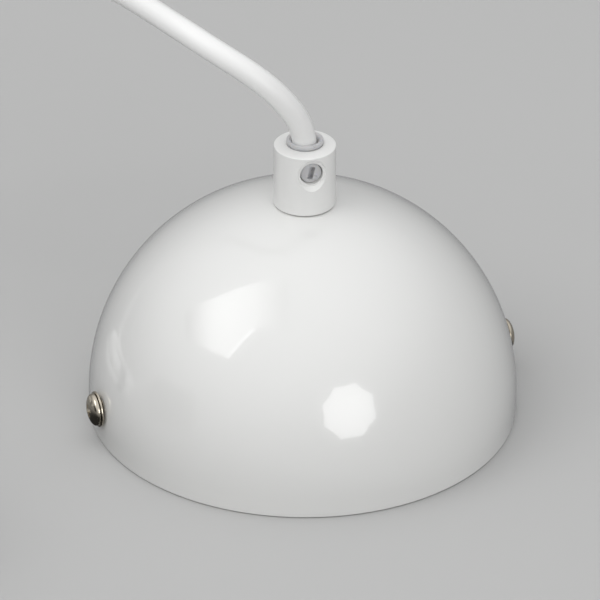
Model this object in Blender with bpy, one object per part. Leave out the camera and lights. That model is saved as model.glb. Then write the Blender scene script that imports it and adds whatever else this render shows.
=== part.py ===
"""Pendant ceiling canopy with its cord grip, strap bracket, terminal block, flex and lampholder.

Metres, +Z up. The canopy stands on its rim: z = 0 is the rim and ceiling plane, X runs along the
two side screws, and the cord grip points up.
"""
import math

import bmesh
import bpy
from mathutils import Matrix, Vector

MM = 0.001

# Canopy shell: a short straight skirt under a hemisphere, with a small pressed flat on top.
CANOPY_RADIUS = 50.0 * MM
CANOPY_SKIRT = 4.4 * MM
CANOPY_WALL = 1.0 * MM
CANOPY_FLAT_RADIUS = 7.9 * MM
NIPPLE_CLEARANCE_RADIUS = 5.3 * MM
SHELL_TOP = CANOPY_SKIRT + math.sqrt(CANOPY_RADIUS ** 2 - CANOPY_FLAT_RADIUS ** 2)
SHELL_UNDER_TOP = SHELL_TOP - CANOPY_WALL

# Flex and cord grip.
FLEX_RADIUS = 2.7 * MM
FIT_GAP = 0.3 * MM
GRIP_RADIUS = 7.15 * MM
GRIP_BOTTOM = 54.05 * MM
GRIP_TOP = 68.95 * MM
GRIP_CROWN = 69.35 * MM
GRIP_LEDGE_LOW = 59.3 * MM
GRIP_LEDGE_HIGH = 60.5 * MM
BUSH_RADIUS = 4.25 * MM
BUSH_TOP = 70.5 * MM
SET_SCREW_HEIGHT = 64.45 * MM
SET_SCREW_RADIUS = 2.5 * MM
SET_SCREW_TIP = 3.05 * MM
SET_SCREW_FACE = 5.75 * MM
SET_SCREW_AZIMUTH = math.radians(-95.5)
SET_SCREW_LEAN = math.radians(-12.0)
COUNTERSINK_FLOOR = 5.4 * MM
COUNTERSINK_SLOPE = 0.8
DRIVER_SLOT = (1.3 * MM, 3.1 * MM, 1.5 * MM)
FLEX_TOP = BUSH_TOP - 1.0 * MM

# Nipple, washer and nut inside the shell.
NIPPLE_RADIUS = 5.0 * MM
NIPPLE_BORE = 3.5 * MM
NIPPLE_BOTTOM = 46.0 * MM
NIPPLE_TOP = GRIP_LEDGE_LOW - FIT_GAP
LOCK_WASHER_RADIUS = 7.4 * MM
LOCK_WASHER_THICK = 0.6 * MM
WASHER_GAP = 0.15 * MM
LOCK_NUT_FLATS = 14.0 * MM
LOCK_NUT_THICK = 3.0 * MM

# Strap bracket with two upright ears and an earth tab.
STRAP_THICK = 1.5 * MM
STRAP_WIDTH = 14.0 * MM
EAR_FACE = 46.5 * MM
EAR_TOP = 14.0 * MM
STRAP_BEND = 2.5 * MM
SIDE_SCREW_HEIGHT = 8.5 * MM
M4_CLEARANCE = 2.3 * MM
M4_RADIUS = 2.0 * MM
SLOT_CENTRE = 33.5 * MM
SLOT_LENGTH = 11.0 * MM
SLOT_WIDTH = 5.0 * MM
CABLE_HOLE_CENTRE = -9.0 * MM
CABLE_HOLE_RADIUS = 5.0 * MM
EARTH_TAB_X = -23.0 * MM
EARTH_TAB_TOP = 12.6 * MM
EARTH_HEIGHT = 8.0 * MM

# Side screws and washers (M4 x 12).
WASHER_FACE = 50.15 * MM
WASHER_RADIUS = 4.2 * MM
WASHER_THICK = 0.6 * MM
SCREW_HEAD_RADIUS = 3.8 * MM
SIDE_RECESS = (2.0 * MM, 0.95 * MM, 0.4 * MM)
SCREW_HEAD_HEIGHT = 1.9 * MM
SCREW_LENGTH = 12.0 * MM

# Three-pole terminal block.
BLOCK_X0, BLOCK_X1 = 8.0 * MM, 25.0 * MM
BLOCK_HALF_Y = 15.0 * MM
BLOCK_Z0, BLOCK_Z1 = 1.8 * MM, 14.0 * MM
POLE_Y = (-10.0 * MM, 0.0, 10.0 * MM)
POLE_NAMES = ("neutral", "live", "spare")
POLE_HEIGHT = 7.5 * MM
INSERT_RADIUS = 2.5 * MM
INSERT_BORE = 1.5 * MM
CLAMP_X = (12.5 * MM, 20.5 * MM)
CLAMP_RADIUS = 1.5 * MM
CLAMP_LOW, CLAMP_HIGH = 8.5 * MM, 12.3 * MM
CLAMP_HOLE_RADIUS = 2.1 * MM
FIXING_X = 16.5 * MM
FIXING_Y = 5.0 * MM
FIXING_HOLE_RADIUS = 1.7 * MM
FIXING_SHANK_RADIUS = 1.4 * MM
FIXING_HEAD_RADIUS = 2.6 * MM
FIXING_HEAD_HEIGHT = 1.8 * MM
FERRULE_RADIUS = 0.9 * MM
FERRULE_ENDS = (8.5 * MM, 15.5 * MM)

# Earth lug, washer and screw on the bracket's tab.
EARTH_PLATE = 0.8 * MM
LUG_RADIUS = 3.7 * MM
LUG_NECK_HALF = 1.5 * MM
LUG_BARREL_RADIUS = 1.9 * MM
LUG_BARREL_ENDS = (13.6 * MM, 19.0 * MM)
EARTH_WASHER_RADIUS = 3.9 * MM
EARTH_HEAD_RADIUS = 3.6 * MM
EARTH_HEAD_HEIGHT = 2.4 * MM
EARTH_SCREW_LENGTH = 8.0 * MM

# Cores inside the canopy.
CORE_RADIUS = 1.1 * MM
SHEATH_END = 36.0 * MM

# Free flex, its coil and the lampholder beyond it.
COIL_CENTRE = Vector((-111.3, 65.1, 0.0)) * MM
COIL_INNER, COIL_OUTER = 22.6 * MM, 43.6 * MM
COIL_LOW, COIL_HIGH = 1.4 * MM, 14.6 * MM
RUN_ROUTE = ((-0.2, -0.2, 71.2), (-1.3, -1.2, 74.2), (-3.0, -1.9, 77.8), (-7.7, -2.0, 84.3),
             (-13.4, 0.1, 89.6), (-19.0, 4.5, 93.2), (-23.5, 10.7, 95.5), (-26.6, 18.1, 96.3),
             (-29.1, 25.7, 96.5), (-31.4, 33.5, 96.3), (-34.6, 43.0, 95.6), (-39.4, 53.5, 93.3),
             (-46.2, 64.2, 88.8), (-54.8, 74.4, 81.6), (-64.6, 83.5, 71.6), (-74.9, 91.0, 59.4),
             (-85.0, 96.9, 46.0), (-93.8, 100.8, 33.4), (-100.4, 102.7, 23.8),
             (-105.8, 103.1, 17.5))
TAIL_ROUTE = ((-134.0, 17.9, 17.35), (-134.1, 20.2, 17.0), (-134.3, 22.2, 16.6),
              (-134.6, 24.0, 16.2))
HOLDER_ORIGIN = Vector((-134.0, -44.0, 25.35)) * MM
HOLDER_TILT = math.atan2(4.0, 31.0)

PAINT = dict(color=(0.86, 0.86, 0.84), roughness=0.22, metallic=0.0)
SATIN_PAINT = dict(color=(0.84, 0.84, 0.82), roughness=0.38, metallic=0.0)
CLEAR_PLASTIC = dict(color=(0.72, 0.73, 0.71), roughness=0.35, metallic=0.0)
FLEX_WHITE = dict(color=(0.85, 0.85, 0.83), roughness=0.42, metallic=0.0)
NICKEL = dict(color=(0.62, 0.59, 0.50), roughness=0.28, metallic=1.0)
ZINC = dict(color=(0.62, 0.63, 0.64), roughness=0.38, metallic=1.0)
BRASS = dict(color=(0.72, 0.55, 0.24), roughness=0.32, metallic=1.0)
ALUMINIUM = dict(color=(0.74, 0.74, 0.75), roughness=0.35, metallic=1.0)
TIN = dict(color=(0.70, 0.69, 0.66), roughness=0.35, metallic=1.0)
NYLON = dict(color=(0.83, 0.82, 0.78), roughness=0.5, metallic=0.0)
BLACK = dict(color=(0.05, 0.05, 0.05), roughness=0.5, metallic=0.0)
BROWN = dict(color=(0.22, 0.10, 0.05), roughness=0.45, metallic=0.0)
BLUE = dict(color=(0.06, 0.18, 0.50), roughness=0.45, metallic=0.0)
EARTH_GREEN = dict(color=(0.30, 0.50, 0.06), roughness=0.45, metallic=0.0)
CERAMIC = dict(color=(0.80, 0.79, 0.75), roughness=0.3, metallic=0.0)


def clear_scene():
    for item in list(bpy.data.objects):
        bpy.data.objects.remove(item, do_unlink=True)


def material(name, color, roughness, metallic):
    mat = bpy.data.materials.new(name)
    mat.use_nodes = True
    shader = mat.node_tree.nodes["Principled BSDF"]
    shader.inputs["Base Color"].default_value = (*color, 1.0)
    shader.inputs["Roughness"].default_value = roughness
    shader.inputs["Metallic"].default_value = metallic
    mat.diffuse_color = (*color, 1.0)
    return mat


def publish(bm, name, look, smooth=35.0):
    """Turn a bmesh into a named object with outward faces and its own material."""
    bmesh.ops.remove_doubles(bm, verts=bm.verts, dist=1e-7)
    bmesh.ops.recalc_face_normals(bm, faces=bm.faces)
    mesh = bpy.data.meshes.new(name)
    bm.to_mesh(mesh)
    bm.free()
    obj = bpy.data.objects.new(name, mesh)
    bpy.context.scene.collection.objects.link(obj)
    if look:
        mesh.materials.append(material(name, **look))
    mesh.shade_smooth()
    mesh.set_sharp_from_angle(angle=math.radians(smooth))
    return obj


def turned_mesh(profile, segments, matrix=None):
    """Revolve a closed (radius, height) outline round Z; radius 0 closes on the axis."""
    bm = bmesh.new()
    rings = []
    for radius, height in profile:
        if radius < 1e-9:
            rings.append([bm.verts.new((0.0, 0.0, height))])
            continue
        steps = (2.0 * math.pi * i / segments for i in range(segments))
        rings.append([bm.verts.new((radius * math.cos(a), radius * math.sin(a), height))
                      for a in steps])
    for i, ring in enumerate(rings):
        other = rings[(i + 1) % len(rings)]
        if len(ring) == 1 and len(other) == 1:
            continue
        for k in range(segments):
            n = (k + 1) % segments
            corners = [ring[k % len(ring)], ring[n % len(ring)], other[n % len(other)],
                       other[k % len(other)]]
            bm.faces.new(list(dict.fromkeys(corners)))
    if matrix:
        bmesh.ops.transform(bm, matrix=matrix, verts=bm.verts)
    return bm


def turned(name, profile, look, segments=32, matrix=None, smooth=35.0):
    return publish(turned_mesh(profile, segments, matrix), name, look, smooth)


def pipe_profile(inner, outer, low, high, chamfer=0.0):
    """Outline of a hollow cylinder with optional chamfers on the outer edges."""
    if chamfer <= 0.0:
        return [(inner, low), (outer, low), (outer, high), (inner, high)]
    return [(inner, low), (outer - chamfer, low), (outer, low + chamfer),
            (outer, high - chamfer), (outer - chamfer, high), (inner, high)]


def rod_profile(outer, low, high, chamfer=0.0):
    return [(0.0, low)] + pipe_profile(0.0, outer, low, high, chamfer)[1:-1] + [(0.0, high)]


def box_mesh(low, high, matrix=None):
    bm = bmesh.new()
    bmesh.ops.create_cube(bm, size=1.0)
    low, high = Vector(low), Vector(high)
    size, centre = high - low, (high + low) / 2.0
    bmesh.ops.transform(bm, matrix=Matrix.Translation(centre) @ Matrix.Diagonal((*size, 1.0)),
                        verts=bm.verts)
    if matrix:
        bmesh.ops.transform(bm, matrix=matrix, verts=bm.verts)
    return bm


def boolean(obj, tool_mesh, operation="DIFFERENCE", smooth=35.0):
    """Apply one exact boolean with a throw-away tool."""
    tool = publish(tool_mesh, "tool", None)
    step = obj.modifiers.new("step", "BOOLEAN")
    step.operation, step.solver, step.object = operation, "EXACT", tool
    graph = bpy.context.evaluated_depsgraph_get()
    result = bpy.data.meshes.new_from_object(obj.evaluated_get(graph))
    obj.modifiers.clear()
    obj.data = result
    bpy.data.objects.remove(tool, do_unlink=True)
    result.shade_smooth()
    result.set_sharp_from_angle(angle=math.radians(smooth))
    return obj


def along_x(x=0.0, y=0.0, z=0.0, flip=False):
    """Matrix that lays a turned part's Z axis along +X (or -X) at a point."""
    turn = -90.0 if flip else 90.0
    return Matrix.Translation((x, y, z)) @ Matrix.Rotation(math.radians(turn), 4, "Y")


def at(x=0.0, y=0.0, z=0.0):
    return Matrix.Translation((x, y, z))


def hole(obj, radius, low, high, matrix, segments=24):
    return boolean(obj, turned_mesh(rod_profile(radius, low, high), segments, matrix))


def set_origin(obj, point):
    """Move the object's origin to a joint axis without moving its shape."""
    shift = Vector(point)
    obj.data.transform(Matrix.Translation(-shift))
    obj.location = shift
    return obj


def smooth_route(points, step):
    """Evenly spaced points on a Catmull-Rom curve through the route, in metres."""
    route = [Vector(p) * MM for p in points]
    ends = [2 * route[0] - route[1]] + route + [2 * route[-1] - route[-2]]
    fine = []
    for i in range(1, len(ends) - 2):
        p0, p1, p2, p3 = ends[i - 1:i + 3]
        for k in range(20):
            t = k / 20.0
            fine.append(0.5 * (2 * p1 + (p2 - p0) * t + (2 * p0 - 5 * p1 + 4 * p2 - p3) * t * t
                               + (3 * p1 - p0 - 3 * p2 + p3) * t ** 3))
    fine.append(route[-1])
    lengths = [0.0]
    for a, b in zip(fine, fine[1:]):
        lengths.append(lengths[-1] + (b - a).length)
    count = max(3, int(round(lengths[-1] / step)))
    out, j = [], 0
    for k in range(count + 1):
        want = lengths[-1] * k / count
        while j < len(lengths) - 2 and lengths[j + 1] < want:
            j += 1
        span = lengths[j + 1] - lengths[j]
        out.append(fine[j].lerp(fine[j + 1], (want - lengths[j]) / span if span else 0.0))
    return out


def flexible(name, points, radius, look, step, sides=2):
    """A round flexible run: one open poly curve with a round bevel and closed ends."""
    data = bpy.data.curves.new(name, "CURVE")
    data.dimensions = "3D"
    data.bevel_depth = radius
    data.bevel_resolution = sides
    data.use_fill_caps = True
    path = smooth_route(points, step)
    spline = data.splines.new("POLY")
    spline.points.add(len(path) - 1)
    for slot, point in zip(spline.points, path):
        slot.co = (*point, 1.0)
    data.materials.append(material(name, **look))
    obj = bpy.data.objects.new(name, data)
    bpy.context.scene.collection.objects.link(obj)
    return obj


# ---------------------------------------------------------------- canopy and cord grip
def build_shell():
    inner = CANOPY_RADIUS - CANOPY_WALL
    inner_flat = math.sqrt(inner ** 2 - (SHELL_UNDER_TOP - CANOPY_SKIRT) ** 2)
    outline = [(CANOPY_RADIUS - 0.3 * MM, 0.0), (CANOPY_RADIUS, 0.3 * MM)]
    stop = math.acos(CANOPY_FLAT_RADIUS / CANOPY_RADIUS)
    for i in range(15):
        a = stop * i / 14
        outline.append((CANOPY_RADIUS * math.cos(a), CANOPY_SKIRT + CANOPY_RADIUS * math.sin(a)))
    outline += [(NIPPLE_CLEARANCE_RADIUS, SHELL_TOP), (NIPPLE_CLEARANCE_RADIUS, SHELL_UNDER_TOP)]
    stop = math.acos(inner_flat / inner)
    for i in range(10):
        a = stop * (1.0 - i / 9)
        outline.append((inner * math.cos(a), CANOPY_SKIRT + inner * math.sin(a)))
    outline.append((inner, 0.0))
    shell = turned("canopy_shell", outline, PAINT, segments=56, smooth=40.0)
    return hole(shell, 2.5 * MM, -55 * MM, 55 * MM, along_x(z=SIDE_SCREW_HEIGHT), 20)


def grip_side():
    """Matrix whose +Z runs out of the grip's side hole."""
    turn = Matrix.Rotation(SET_SCREW_AZIMUTH, 4, "Z") @ Matrix.Rotation(math.radians(90), 4, "Y")
    return at(z=SET_SCREW_HEIGHT) @ turn


def build_grip():
    bore = NIPPLE_CLEARANCE_RADIUS
    upper = BUSH_RADIUS + FIT_GAP
    body = turned("cord_grip_body", [
        (bore, GRIP_BOTTOM), (GRIP_RADIUS - 0.25 * MM, GRIP_BOTTOM),
        (GRIP_RADIUS, GRIP_BOTTOM + 0.25 * MM), (GRIP_RADIUS, GRIP_TOP - 0.6 * MM),
        (GRIP_RADIUS - 0.2 * MM, GRIP_TOP - 0.22 * MM), (GRIP_RADIUS - 0.6 * MM, GRIP_TOP),
        (upper, GRIP_CROWN), (upper, GRIP_LEDGE_HIGH), (NIPPLE_BORE, GRIP_LEDGE_HIGH),
        (NIPPLE_BORE, GRIP_LEDGE_LOW), (bore, GRIP_LEDGE_LOW)], SATIN_PAINT, segments=40)
    hole_radius = SET_SCREW_RADIUS + FIT_GAP
    reach = GRIP_RADIUS + 0.5 * MM
    boolean(body, turned_mesh([
        (0.0, SET_SCREW_TIP), (hole_radius, SET_SCREW_TIP), (hole_radius, COUNTERSINK_FLOOR),
        (hole_radius + COUNTERSINK_SLOPE * (reach - COUNTERSINK_FLOOR), reach), (0.0, reach)],
        28, grip_side()))
    bush_low = GRIP_LEDGE_HIGH + FIT_GAP
    bush_inner = FLEX_RADIUS + FIT_GAP
    bush = turned("grip_bush", [
        (bush_inner, bush_low), (BUSH_RADIUS, bush_low), (BUSH_RADIUS, BUSH_TOP - 0.5 * MM),
        (BUSH_RADIUS - 0.2 * MM, BUSH_TOP - 0.15 * MM), (BUSH_RADIUS - 0.6 * MM, BUSH_TOP),
        (bush_inner, BUSH_TOP - 0.4 * MM)], CLEAR_PLASTIC, segments=32)
    hole(bush, hole_radius, 0.0, GRIP_RADIUS, grip_side())
    inner, outer = SET_SCREW_TIP, SET_SCREW_FACE
    screw = turned("grip_set_screw", [
        (0.0, inner), (SET_SCREW_RADIUS - 0.4 * MM, inner), (SET_SCREW_RADIUS, inner + 0.4 * MM),
        (SET_SCREW_RADIUS, outer - 0.2 * MM), (SET_SCREW_RADIUS - 0.2 * MM, outer),
        (0.0, outer)], CLEAR_PLASTIC, segments=28, matrix=grip_side())
    width, length, depth = DRIVER_SLOT
    slot = box_mesh((-length / 2, -width / 2, outer - depth), (length / 2, width / 2, outer + depth),
                    grip_side() @ Matrix.Rotation(SET_SCREW_LEAN, 4, "Z"))
    boolean(screw, slot)
    set_origin(screw, grip_side() @ Vector((0.0, 0.0, inner)))


def build_nipple():
    turned("threaded_nipple", pipe_profile(NIPPLE_BORE, NIPPLE_RADIUS, NIPPLE_BOTTOM, NIPPLE_TOP,
                                           0.5 * MM), ZINC, segments=28)
    washer_top = SHELL_UNDER_TOP - FIT_GAP
    washer_low = washer_top - LOCK_WASHER_THICK
    turned("lock_washer", pipe_profile(NIPPLE_CLEARANCE_RADIUS, LOCK_WASHER_RADIUS, washer_low,
                                       washer_top), ZINC, segments=28)
    nut_top = washer_low - FIT_GAP
    corner = LOCK_NUT_FLATS / math.sqrt(3.0)
    nut = turned("lock_nut", [
        (0.0, nut_top - LOCK_NUT_THICK), (corner, nut_top - LOCK_NUT_THICK), (corner, nut_top),
        (0.0, nut_top)], ZINC, segments=6)
    hole(nut, NIPPLE_CLEARANCE_RADIUS, nut_top - 5 * MM, nut_top + 1 * MM, at(), 28)


# ---------------------------------------------------------------- bracket and side screws
def build_bracket():
    thick, bend = STRAP_THICK, STRAP_BEND
    outline = []
    for i in range(5):
        a = math.radians(-90 + 90 * i / 4)
        outline.append((EAR_FACE - bend + bend * math.cos(a), bend + bend * math.sin(a)))
    outline.append((EAR_FACE, EAR_TOP))
    outline.append((EAR_FACE - thick, EAR_TOP))
    for i in range(5):
        a = math.radians(-90 * i / 4)
        inner = bend - thick
        outline.append((EAR_FACE - bend + inner * math.cos(a), bend + inner * math.sin(a)))
    outline += [(-x, z) for x, z in reversed(outline)]
    bm = bmesh.new()
    sides = [[bm.verts.new((x, y, z)) for x, z in outline]
             for y in (-STRAP_WIDTH / 2, STRAP_WIDTH / 2)]
    count = len(outline)
    for i in range(count):
        n = (i + 1) % count
        bm.faces.new((sides[0][i], sides[0][n], sides[1][n], sides[1][i]))
    bm.faces.new(sides[0])
    bm.faces.new(sides[1][::-1])
    corners = [edge for edge in bm.edges
               if all(v.co.z > EAR_TOP - 1e-6 for v in edge.verts)
               and abs(edge.verts[0].co.y - edge.verts[1].co.y) < 1e-6]
    bmesh.ops.bevel(bm, geom=corners, offset=4.5 * MM, segments=4, affect="EDGES", profile=0.5)
    strap = publish(bm, "mounting_bracket", ZINC)
    tab = box_mesh((EARTH_TAB_X, -5 * MM, 0.5 * MM),
                   (EARTH_TAB_X + STRAP_THICK, 5 * MM, EARTH_TAB_TOP))
    boolean(strap, tab, "UNION")
    for side in (-1, 1):
        face = side * EAR_FACE
        hole(strap, M4_CLEARANCE, -4 * MM, 4 * MM, along_x(x=face, z=SIDE_SCREW_HEIGHT), 20)
        boolean(strap, slot_mesh(side * SLOT_CENTRE))
        hole(strap, FIXING_HOLE_RADIUS, -2 * MM, 4 * MM, at(FIXING_X, side * FIXING_Y), 16)
    hole(strap, CABLE_HOLE_RADIUS, -2 * MM, 4 * MM, at(CABLE_HOLE_CENTRE), 28)
    hole(strap, M4_CLEARANCE, -2 * MM, 4 * MM, along_x(x=EARTH_TAB_X, z=EARTH_HEIGHT), 20)


def slot_mesh(x):
    """Rounded slot cutter lying along X."""
    bm = bmesh.new()
    half, radius = (SLOT_LENGTH - SLOT_WIDTH) / 2, SLOT_WIDTH / 2
    outline = []
    for end in (1, -1):
        for i in range(9):
            a = math.radians(-90 + 180 * i / 8)
            outline.append((x + end * (half + radius * math.cos(a)), end * radius * math.sin(a)))
    sides = [[bm.verts.new((px, py, z)) for px, py in outline] for z in (-2 * MM, 4 * MM)]
    count = len(outline)
    for i in range(count):
        n = (i + 1) % count
        bm.faces.new((sides[0][i], sides[0][n], sides[1][n], sides[1][i]))
    bm.faces.new(sides[0][::-1])
    bm.faces.new(sides[1])
    return bm


def cross_recess(radius, width, floor, top, matrix):
    """Two crossing bars as one cutter, for a cross-head recess."""
    bm = bmesh.new()
    half = width / 2
    outline = [(radius, -half), (radius, half), (half, half), (half, radius), (-half, radius),
               (-half, half), (-radius, half), (-radius, -half), (-half, -half),
               (-half, -radius), (half, -radius), (half, -half)]
    taper = 0.45
    low = [bm.verts.new((x * taper if abs(x) > half else x, y * taper if abs(y) > half else y,
                         floor)) for x, y in outline]
    high = [bm.verts.new((x, y, top)) for x, y in outline]
    count = len(outline)
    for i in range(count):
        n = (i + 1) % count
        bm.faces.new((low[i], low[n], high[n], high[i]))
    bm.faces.new(low[::-1])
    bm.faces.new(high)
    bmesh.ops.transform(bm, matrix=matrix, verts=bm.verts)
    return bm


def pan_head_profile(shank, head, height, length, seat):
    """Outline of a pan-head screw whose under-head face is at seat, head towards +Z."""
    return [(0.0, seat - length), (shank - 0.5 * MM, seat - length),
            (shank, seat - length + 0.6 * MM), (shank, seat), (head - 0.15 * MM, seat),
            (head, seat + 0.15 * MM), (head, seat + 0.35 * height),
            (head * 0.95, seat + 0.62 * height), (head * 0.82, seat + 0.84 * height),
            (head * 0.55, seat + 0.97 * height), (0.0, seat + height)]


def build_side_screws():
    seat = WASHER_FACE + WASHER_THICK + WASHER_GAP
    for side, flip in (("left", True), ("right", False)):
        sign = -1.0 if flip else 1.0
        place = along_x(z=SIDE_SCREW_HEIGHT, flip=flip)
        washer = turned(f"{side}_side_washer", pipe_profile(
            M4_CLEARANCE, WASHER_RADIUS, WASHER_FACE, WASHER_FACE + WASHER_THICK, 0.15 * MM),
            NICKEL, segments=28, matrix=place)
        set_origin(washer, (sign * WASHER_FACE, 0.0, SIDE_SCREW_HEIGHT))
        screw = turned(f"{side}_side_screw", pan_head_profile(
            M4_RADIUS, SCREW_HEAD_RADIUS, SCREW_HEAD_HEIGHT, SCREW_LENGTH, seat),
            NICKEL, segments=28, matrix=place, smooth=30.0)
        reach, width, floor = SIDE_RECESS
        boolean(screw, cross_recess(reach, width, seat + floor, seat + 3.2 * MM, place))
        set_origin(screw, (sign * seat, 0.0, SIDE_SCREW_HEIGHT))


# ---------------------------------------------------------------- terminals and cores
def build_terminals():
    bm = box_mesh((BLOCK_X0, -BLOCK_HALF_Y, BLOCK_Z0), (BLOCK_X1, BLOCK_HALF_Y, BLOCK_Z1))
    bmesh.ops.bevel(bm, geom=[e for e in bm.edges if abs(e.verts[0].co.z - e.verts[1].co.z)
                              > 1 * MM], offset=1.2 * MM, segments=2, affect="EDGES")
    block = publish(bm, "terminal_housing", NYLON)
    for y in POLE_Y:
        hole(block, INSERT_RADIUS + FIT_GAP, 5 * MM, 28 * MM, along_x(y=y, z=POLE_HEIGHT), 16)
        for x in CLAMP_X:
            hole(block, CLAMP_HOLE_RADIUS, POLE_HEIGHT, 16 * MM, at(x, y), 16)
    for side in (-1, 1):
        hole(block, FIXING_HOLE_RADIUS, -1 * MM, 16 * MM, at(FIXING_X, side * FIXING_Y), 14)
    for y, pole in zip(POLE_Y, POLE_NAMES):
        insert = turned(f"terminal_insert_{pole}", pipe_profile(
            INSERT_BORE, INSERT_RADIUS, BLOCK_X0 + 1 * MM, BLOCK_X1 - 1 * MM), BRASS,
            segments=16, matrix=along_x(y=y, z=POLE_HEIGHT))
        for x in CLAMP_X:
            hole(insert, CLAMP_RADIUS + FIT_GAP, POLE_HEIGHT, 14 * MM, at(x, y), 16)
        for x, end in zip(CLAMP_X, ("lamp", "mains")):
            screw = turned(f"clamp_screw_{pole}_{end}", rod_profile(
                CLAMP_RADIUS, CLAMP_LOW, CLAMP_HIGH, 0.2 * MM), ZINC, segments=16, matrix=at(x, y))
            boolean(screw, box_mesh((x - 2 * MM, y - 0.3 * MM, CLAMP_HIGH - 0.8 * MM),
                                    (x + 2 * MM, y + 0.3 * MM, CLAMP_HIGH + 1 * MM)))
            set_origin(screw, (x, y, CLAMP_LOW))
    for side, tag in ((-1, "a"), (1, "b")):
        seat = BLOCK_Z1 + FIT_GAP
        screw = turned(f"block_fixing_screw_{tag}", pan_head_profile(
            FIXING_SHANK_RADIUS, FIXING_HEAD_RADIUS, FIXING_HEAD_HEIGHT, seat - FIT_GAP, seat),
            ZINC, segments=20, matrix=at(FIXING_X, side * FIXING_Y), smooth=30.0)
        boolean(screw, cross_recess(1.4 * MM, 0.6 * MM, seat + 0.6 * MM, seat + 2.5 * MM,
                                    at(FIXING_X, side * FIXING_Y)))


def build_earth():
    x = EARTH_TAB_X + STRAP_THICK + FIT_GAP
    middle = x + EARTH_PLATE / 2
    place = along_x(z=EARTH_HEIGHT)
    lug = turned("earth_lug", pipe_profile(M4_CLEARANCE, LUG_RADIUS, x, x + EARTH_PLATE), TIN,
                 segments=24, matrix=place)
    boolean(lug, box_mesh((x, -LUG_NECK_HALF, EARTH_HEIGHT + LUG_RADIUS - 0.5 * MM),
                          (x + EARTH_PLATE, LUG_NECK_HALF, LUG_BARREL_ENDS[0] + 0.9 * MM)), "UNION")
    boolean(lug, turned_mesh(rod_profile(LUG_BARREL_RADIUS, *LUG_BARREL_ENDS), 20, at(middle)),
            "UNION")
    hole(lug, CORE_RADIUS + 0.25 * MM, 15 * MM, 20 * MM, at(middle), 16)
    x += EARTH_PLATE + FIT_GAP
    turned("earth_washer", pipe_profile(M4_CLEARANCE, EARTH_WASHER_RADIUS, x, x + EARTH_PLATE), TIN,
           segments=24, matrix=place)
    seat = x + EARTH_PLATE + FIT_GAP
    screw = turned("earth_screw", pan_head_profile(
        M4_RADIUS, EARTH_HEAD_RADIUS, EARTH_HEAD_HEIGHT, EARTH_SCREW_LENGTH, seat),
        BRASS, segments=24, matrix=place, smooth=30.0)
    boolean(screw, cross_recess(1.9 * MM, 0.85 * MM, seat + 0.8 * MM, seat + 3 * MM, place))
    set_origin(screw, (seat, 0.0, EARTH_HEIGHT))


def build_cores():
    turned("flex_in_grip", rod_profile(FLEX_RADIUS, SHEATH_END, FLEX_TOP), FLEX_WHITE, segments=20)
    low = POLE_HEIGHT - 0.2 * MM
    for y, pole, look in ((POLE_Y[0], "neutral", BLUE), (POLE_Y[1], "live", BROWN)):
        end = low / MM
        if pole == "neutral":
            route = ((0.2, -1.4, 35.7), (-0.2, -1.6, 33.0), (-2.4, -3.5, 27.0), (-4.8, -7.0, 20.0),
                     (-4.6, -9.4, 13.0), (-0.9, -10.0, 8.4), (4.0, -10.0, end), (8.2, -10.0, end))
        else:
            route = ((0.9, 1.1, 35.7), (0.8, 1.1, 33.0), (-0.6, 1.0, 27.0), (-2.4, 0.6, 20.0),
                     (-2.4, 0.2, 13.0), (0.8, 0.0, 8.6), (4.6, 0.0, end), (8.2, 0.0, end))
        flexible(f"core_{pole}", route, CORE_RADIUS, look, 2.6 * MM)
        turned(f"ferrule_{pole}", rod_profile(FERRULE_RADIUS, *FERRULE_ENDS), TIN, segments=14,
               matrix=along_x(y=y, z=low))
    lug_x = (EARTH_TAB_X + STRAP_THICK + FIT_GAP + EARTH_PLATE / 2) / MM
    flexible("core_earth", ((-1.4, 0.2, 35.7), (-1.8, 0.2, 33.2), (-5.5, 0.4, 28.8),
                            (-12.0, 0.4, 28.2), (-17.8, 0.2, 27.0), (lug_x, 0.0, 22.4),
                            (lug_x, 0.0, 15.4)), CORE_RADIUS, EARTH_GREEN, 2.6 * MM)


# ---------------------------------------------------------------- free flex and lampholder
def build_flex():
    flexible("flex_free_run", RUN_ROUTE, FLEX_RADIUS, FLEX_WHITE, 7.0 * MM, sides=2)
    flexible("flex_tail", TAIL_ROUTE, FLEX_RADIUS, FLEX_WHITE, 4.0 * MM, sides=2)
    middle, half = (COIL_LOW + COIL_HIGH) / 2, (COIL_HIGH - COIL_LOW) / 2
    corner = 2.0 * MM
    turned("flex_coil", [
        (COIL_INNER + corner, COIL_LOW), (COIL_OUTER - corner, COIL_LOW),
        (COIL_OUTER, COIL_LOW + corner), (COIL_OUTER, COIL_HIGH - corner),
        (COIL_OUTER - corner, COIL_HIGH), (COIL_INNER + corner, COIL_HIGH),
        (COIL_INNER, COIL_HIGH - corner), (COIL_INNER, COIL_LOW + corner)],
        FLEX_WHITE, segments=40, matrix=Matrix.Translation(COIL_CENTRE))
    gap, wall = 0.4 * MM, 0.8 * MM
    bow = 0.35 * MM
    angle = math.radians(-60)
    place = (Matrix.Translation(COIL_CENTRE + Vector((0, 0, middle)))
             @ Matrix.Rotation(angle, 4, "Z"))
    inner, outer = COIL_INNER - gap - bow, COIL_OUTER + gap
    tie = publish(box_mesh((inner - wall, -4 * MM, -half - gap - wall),
                           (outer + wall, 4 * MM, half + gap + wall), place), "coil_tie", BLACK)
    boolean(tie, box_mesh((inner, -6 * MM, -half - gap), (outer, 6 * MM, half + gap), place))


def holder_matrix():
    """Lampholder axis: mouth towards -Y, cap towards +Y and a little lower."""
    turn = Matrix.Rotation(-math.pi / 2 - HOLDER_TILT, 4, "X")
    return Matrix.Translation(HOLDER_ORIGIN) @ turn


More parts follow.
